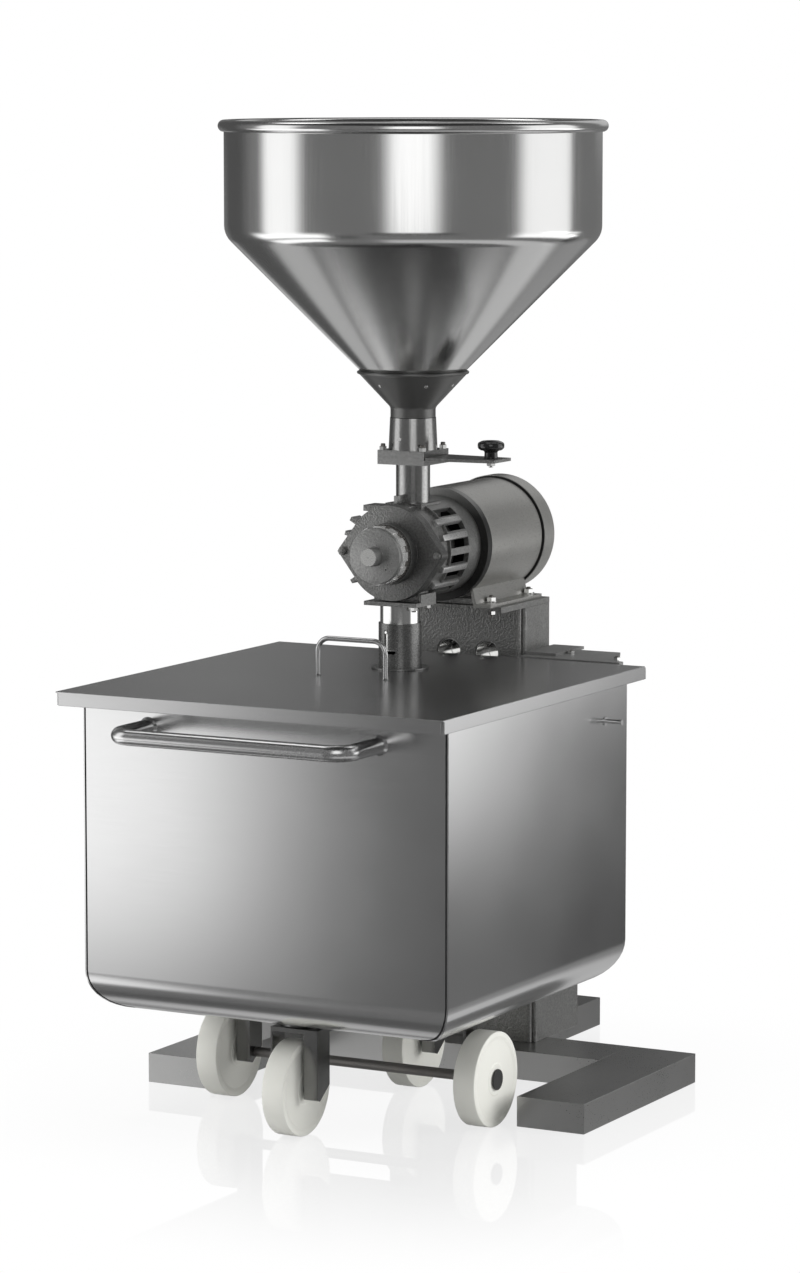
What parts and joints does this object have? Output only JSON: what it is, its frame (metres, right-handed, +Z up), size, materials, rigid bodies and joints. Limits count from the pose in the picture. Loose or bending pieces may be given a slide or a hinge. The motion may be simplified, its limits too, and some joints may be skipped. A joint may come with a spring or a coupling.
{
  "type": "shop coffee grinder",
  "caption": "Free-standing shop coffee grinder: conical hopper with a gate over a motor-driven disc mill on a column, spouting into a lidded bin on wheels.",
  "frame": {"origin": "middle of the footprint, on the floor", "axes": "+X to the right seen from the front, +Y to the back, +Z up; the bin, its push handle and the mill face -Y"},
  "size_m": [0.836, 1.2504, 1.654],
  "materials": {
    "base_paint": "satin dark paint on heavy steel bar",
    "hammer_paint": "semi-gloss hammered grey paint",
    "motor_paint": "smooth satin grey paint",
    "bright_steel": "bright plated steel",
    "hopper_steel": "polished stainless sheet",
    "bin_steel": "satin stainless sheet",
    "seam_rubber": "matt black",
    "handle_steel": "polished stainless tube and rod",
    "gear_steel": "dark satin steel",
    "wheel_nylon": "ivory nylon",
    "knob_plastic": "glossy black",
    "core_iron": "raw iron",
    "machined_steel": "machined steel",
    "fan_plastic": "matt black"
  },
  "bodies": {
    "frame": {"base_left_arm": "base_paint", "base_right_arm": "base_paint", "base_cross_bar": "base_paint", "base_tail_bar": "base_paint", "column_body": "hammer_paint", "column_cover": "hammer_paint", "head_body": "hammer_paint", "head_cover": "hammer_paint", "port_liners": "bright_steel", "motor_rails": "hammer_paint", "dock_bracket": "bin_steel", "motor_shell": "motor_paint", "motor_flange": "motor_paint", "stator_core": "core_iron", "fan_cover": "motor_paint", "motor_feet": "motor_paint", "foot_bolts": "bright_steel", "terminal_box": "motor_paint", "lantern_housing": "hammer_paint", "front_cover": "hammer_paint", "housing_bolts": "bright_steel", "fixed_burr": "machined_steel", "inlet_tube": "hammer_paint", "flange_bolts": "bright_steel", "neck_flange": "hammer_paint", "collar": "hammer_paint", "collar_screws": "bright_steel", "hopper_bowl": "hopper_steel", "outlet_plate": "hammer_paint", "outlet_tube": "bright_steel", "sleeve_screw": "bright_steel"},
    "rotor": {"rotor_core": "core_iron", "motor_shaft": "machined_steel", "cooling_fan": "fan_plastic", "rotating_burr": "machined_steel", "feed_screw": "machined_steel"},
    "adjuster": {"adjusting_ring": "hammer_paint"},
    "gate": {"gate_plate": "hammer_paint", "gate_knob": "knob_plastic", "gate_nut": "bright_steel"},
    "sleeve": {"outlet_sleeve": "hammer_paint"},
    "bin": {"bin_wrap": "bin_steel", "bin_seams": "seam_rubber", "bin_left_side": "bin_steel", "bin_right_side": "bin_steel", "bin_lid": "bin_steel", "push_handle": "handle_steel", "lid_handle": "handle_steel", "side_pins": "handle_steel", "wheel_bracket_left": "gear_steel", "wheel_bracket_right": "gear_steel", "wheel_axle": "gear_steel", "axle_caps": "gear_steel", "caster_races": "gear_steel"},
    "left_wheel": {"fixed_wheel_left": "wheel_nylon"},
    "right_wheel": {"fixed_wheel_right": "wheel_nylon"},
    "front_swivel": {"front_fork": "gear_steel"},
    "rear_swivel": {"rear_fork": "gear_steel"},
    "front_swivel_wheel": {"front_caster_wheel": "wheel_nylon"},
    "rear_swivel_wheel": {"rear_caster_wheel": "wheel_nylon"}
  },
  "joints": [
    {"name": "rotor_spin", "type": "hinge", "parent": "frame", "child": "rotor", "pos_m": [0, 0.01825, 0.93], "axis": [0, 1, 0], "continuous": true},
    {"name": "grind_setting", "type": "hinge", "parent": "frame", "child": "adjuster", "pos_m": [0, -0.09175, 0.93], "axis": [0, 1, 0], "range_deg": [0, 300]},
    {"name": "gate_slide", "type": "slide", "parent": "frame", "child": "gate", "axis": [1, 0, 0], "range_m": [0, 0.06]},
    {"name": "sleeve_lift", "type": "slide", "parent": "frame", "child": "sleeve", "axis": [0, 0, 1], "range_m": [0, 0.02]},
    {"name": "bin_roll", "type": "slide", "parent": "frame", "child": "bin", "axis": [0, -1, 0], "range_m": [0, 0.7]},
    {"name": "left_wheel_spin", "type": "hinge", "parent": "bin", "child": "left_wheel", "pos_m": [-0.245, -0.18675, 0.08], "axis": [1, 0, 0], "continuous": true},
    {"name": "right_wheel_spin", "type": "hinge", "parent": "bin", "child": "right_wheel", "pos_m": [0.245, -0.18675, 0.08], "axis": [1, 0, 0], "continuous": true},
    {"name": "front_swivel_turn", "type": "hinge", "parent": "bin", "child": "front_swivel", "pos_m": [0, -0.37375, 0.188], "axis": [0, 0, 1], "continuous": true},
    {"name": "rear_swivel_turn", "type": "hinge", "parent": "bin", "child": "rear_swivel", "pos_m": [0, 0.03925, 0.188], "axis": [0, 0, 1], "continuous": true},
    {"name": "front_caster_spin", "type": "hinge", "parent": "front_swivel", "child": "front_swivel_wheel", "pos_m": [0, -0.39075, 0.08], "axis": [1, 0, 0], "continuous": true},
    {"name": "rear_caster_spin", "type": "hinge", "parent": "rear_swivel", "child": "rear_swivel_wheel", "pos_m": [0, 0.02225, 0.08], "axis": [1, 0, 0], "continuous": true}
  ],
  "couplings": [
    {"joint": "left_wheel_spin", "follows": "bin_roll", "rad_per_m": 12.5},
    {"joint": "right_wheel_spin", "follows": "bin_roll", "rad_per_m": 12.5},
    {"joint": "front_caster_spin", "follows": "bin_roll", "rad_per_m": 12.5},
    {"joint": "rear_caster_spin", "follows": "bin_roll", "rad_per_m": 12.5}
  ]
}
